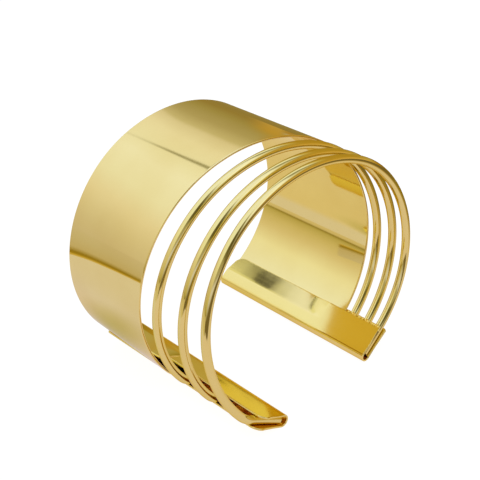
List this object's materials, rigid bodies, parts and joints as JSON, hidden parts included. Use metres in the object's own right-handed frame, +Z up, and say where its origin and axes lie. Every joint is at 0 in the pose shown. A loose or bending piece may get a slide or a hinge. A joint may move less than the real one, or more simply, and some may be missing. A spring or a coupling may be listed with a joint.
{
  "type": "upper arm cuff",
  "caption": "Open upper arm cuff: a broad polished metal band with round wires fanned beside it, all clamped at the gap in a folded channel on each side.",
  "frame": {"origin": "the middle of the bounding box, on the surface that the two folds rest on", "axes": "+Z up, +Y along the arm from the wires' near end to the band's far edge, +X across the gap towards the channel that is 4 mm shorter"},
  "size_m": [0.0872, 0.0702, 0.0749],
  "materials": {
    "band": "mirror polished",
    "wires": "mirror polished",
    "channels": "polished"
  },
  "bodies": {
    "root": {"band": "band", "wire_1": "wires", "wire_2": "wires", "wire_3": "wires", "left_channel": "channels", "right_channel": "channels"}
  },
  "joints": []
}
